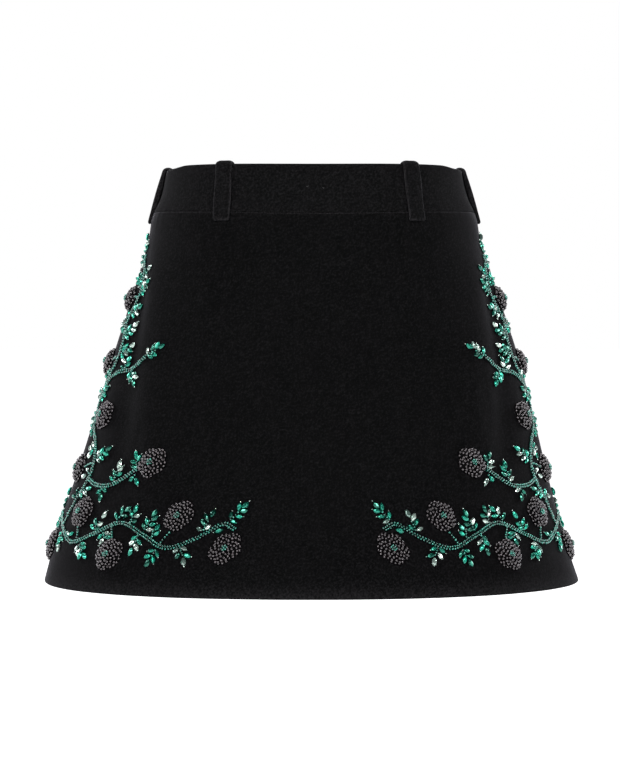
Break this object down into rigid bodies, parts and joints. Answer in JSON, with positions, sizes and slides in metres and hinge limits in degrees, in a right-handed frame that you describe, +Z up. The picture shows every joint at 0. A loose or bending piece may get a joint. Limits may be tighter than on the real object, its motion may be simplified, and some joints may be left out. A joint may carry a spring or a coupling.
{
  "type": "mini skirt",
  "caption": "Short A-line velvet skirt with a wide waistband, belt loops, and beaded flower scrolls beside the side seams and along the hem.",
  "frame": {"origin": "centre of the waistband ring, halfway up the band, where the wearer's waist holds it", "axes": "+Z up, +X to the right of someone who faces the front, and the front towards -Y"},
  "size_m": [0.4803, 0.3035, 0.3719],
  "materials": {
    "velvet": "short black pile with a cool grey sheen where it turns away",
    "dark_beads": "round plum-black beads, polished",
    "seed_beads": "small round teal-green glass beads in twisted rows",
    "crystals": "faceted boat-shaped emerald crystals, foiled at the back",
    "pale_crystals": "faceted boat-shaped crystals, almost clear",
    "thread": "black sewing thread",
    "zip_metal": "black painted, satin"
  },
  "bodies": {
    "garment": {"panel_front": "velvet", "panel_back_left": "velvet", "panel_back_right": "velvet", "waistband_front": "velvet", "waistband_back_left": "velvet", "waistband_back_right": "velvet", "belt_loop_front_left": "velvet", "belt_loop_front_right": "velvet", "belt_loop_side_left": "velvet", "belt_loop_side_right": "velvet", "belt_loop_back_left": "velvet", "belt_loop_back_right": "velvet", "flower_front_left_01": "dark_beads", "flower_front_left_02": "dark_beads", "flower_front_left_03": "dark_beads", "flower_front_left_04": "dark_beads", "flower_front_left_05": "dark_beads", "flower_front_left_06": "dark_beads", "flower_front_left_07": "dark_beads", "flower_front_left_08": "dark_beads", "flower_front_left_09": "dark_beads", "flower_front_left_10": "dark_beads", "flower_front_right_01": "dark_beads", "flower_front_right_02": "dark_beads", "flower_front_right_03": "dark_beads", "flower_front_right_04": "dark_beads", "flower_front_right_05": "dark_beads", "flower_front_right_06": "dark_beads", "flower_front_right_07": "dark_beads", "flower_front_right_08": "dark_beads", "flower_front_right_09": "dark_beads", "flower_front_right_10": "dark_beads", "flower_back_left_01": "dark_beads", "flower_back_left_02": "dark_beads", "flower_back_left_03": "dark_beads", "flower_back_left_04": "dark_beads", "flower_back_left_05": "dark_beads", "flower_back_left_06": "dark_beads", "flower_back_left_07": "dark_beads", "flower_back_left_08": "dark_beads", "flower_back_left_09": "dark_beads", "flower_back_left_10": "dark_beads", "flower_back_right_01": "dark_beads", "flower_back_right_02": "dark_beads", "flower_back_right_03": "dark_beads", "flower_back_right_04": "dark_beads", "flower_back_right_05": "dark_beads", "flower_back_right_06": "dark_beads", "flower_back_right_07": "dark_beads", "flower_back_right_08": "dark_beads", "flower_back_right_09": "dark_beads", "flower_back_right_10": "dark_beads", "zip_slider": "zip_metal"},
    "zip_pull": {"zip_pull": "zip_metal"}
  },
  "joints": [
    {"name": "zip_pull_swing", "type": "hinge", "parent": "garment", "child": "zip_pull", "pos_m": [0, 0.09871, 0.0165], "axis": [1, 0, 0], "range_deg": [0, 150]}
  ]
}
